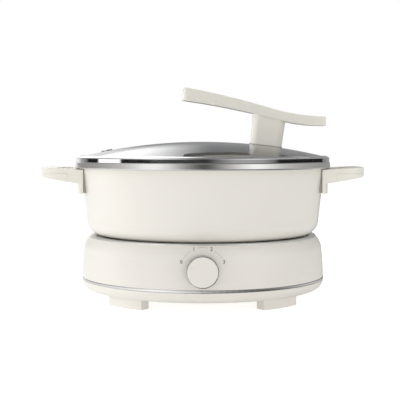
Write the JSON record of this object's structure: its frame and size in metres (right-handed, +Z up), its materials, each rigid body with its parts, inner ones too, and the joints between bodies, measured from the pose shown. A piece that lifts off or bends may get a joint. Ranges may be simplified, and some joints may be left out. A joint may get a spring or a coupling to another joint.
{
  "type": "electric hot pot",
  "caption": "Electric hot pot: a round coated pot with side handles and a domed glass lid with an off-centre lever handle, lifting off a heating base with a front dial and metal trim.",
  "frame": {"origin": "on the table top, under the middle of the base and pot", "axes": "+Z up, +X to the right of a user who faces the dial, along the side handles and the lid's arm; the dial faces -Y"},
  "size_m": [0.349, 0.283, 0.2303],
  "materials": {
    "pot_coating": "satin",
    "housing_plastic": "satin",
    "handle_plastic": "satin",
    "polished_steel": "polished",
    "pressed_steel": "satin",
    "dark_bracket": "satin",
    "smoked_glass": "gloss",
    "cast_plate": "matte",
    "element_steel": "satin",
    "screw_steel": "satin",
    "spring_steel": "gloss",
    "black_plastic": "satin",
    "grey_rubber": "matte",
    "clear_silicone": "matte",
    "brass_metal": "satin",
    "wire_sleeve": "matte",
    "terminal_plastic": "matte"
  },
  "bodies": {
    "base": {"bottom_cover": "housing_plastic", "foot_pads": "grey_rubber", "trim_ring": "polished_steel", "upper_housing": "housing_plastic", "housing_screws": "screw_steel", "liner_screws": "screw_steel", "heat_liner": "pressed_steel", "heating_plate": "cast_plate", "heating_element": "element_steel", "plate_posts": "screw_steel", "plate_screws": "screw_steel", "sensor_guide": "pressed_steel", "rotary_control": "black_plastic", "control_nut": "screw_steel", "power_inlet": "black_plastic", "inlet_blades": "brass_metal", "terminal_block": "terminal_plastic", "thermal_fuse": "screw_steel", "internal_leads": "wire_sleeve"},
    "knob": {"control_shaft": "screw_steel", "knob_cap": "housing_plastic", "knob_ring": "polished_steel"},
    "sensor": {"sensor_cap": "cast_plate", "sensor_spring": "spring_steel"},
    "pot": {"pot_shell": "pot_coating", "pot_rim": "polished_steel", "right_handle": "handle_plastic", "right_under_grip": "handle_plastic", "right_bracket": "dark_bracket", "left_handle": "handle_plastic", "left_under_grip": "handle_plastic", "left_bracket": "dark_bracket", "handle_screws": "screw_steel", "grip_screws": "screw_steel"},
    "lid": {"lid_glass": "smoked_glass", "lid_band": "polished_steel", "steam_vent": "polished_steel", "post_gasket": "clear_silicone", "lid_post": "handle_plastic", "lid_arm": "handle_plastic", "lid_insert": "brass_metal", "lid_washer": "screw_steel", "lid_screw": "screw_steel"}
  },
  "joints": [
    {"name": "dial_turn", "type": "hinge", "parent": "base", "child": "knob", "pos_m": [0, -0.132, 0.0437], "axis": [0, 1, 0], "range_deg": [0, 135]},
    {"name": "pot_lift", "type": "slide", "parent": "base", "child": "pot", "axis": [0, 0, 1], "range_m": [0, 0.08]},
    {"name": "lid_lift", "type": "slide", "parent": "pot", "child": "lid", "axis": [0, 0, 1], "range_m": [0, 0.1]},
    {"name": "sensor_press", "type": "slide", "parent": "base", "child": "sensor", "axis": [0, 0, 1], "range_m": [-0.003, 0], "stiffness_N_per_m": 300, "springref_m": 0.003, "deforming": ["sensor_spring"]}
  ]
}
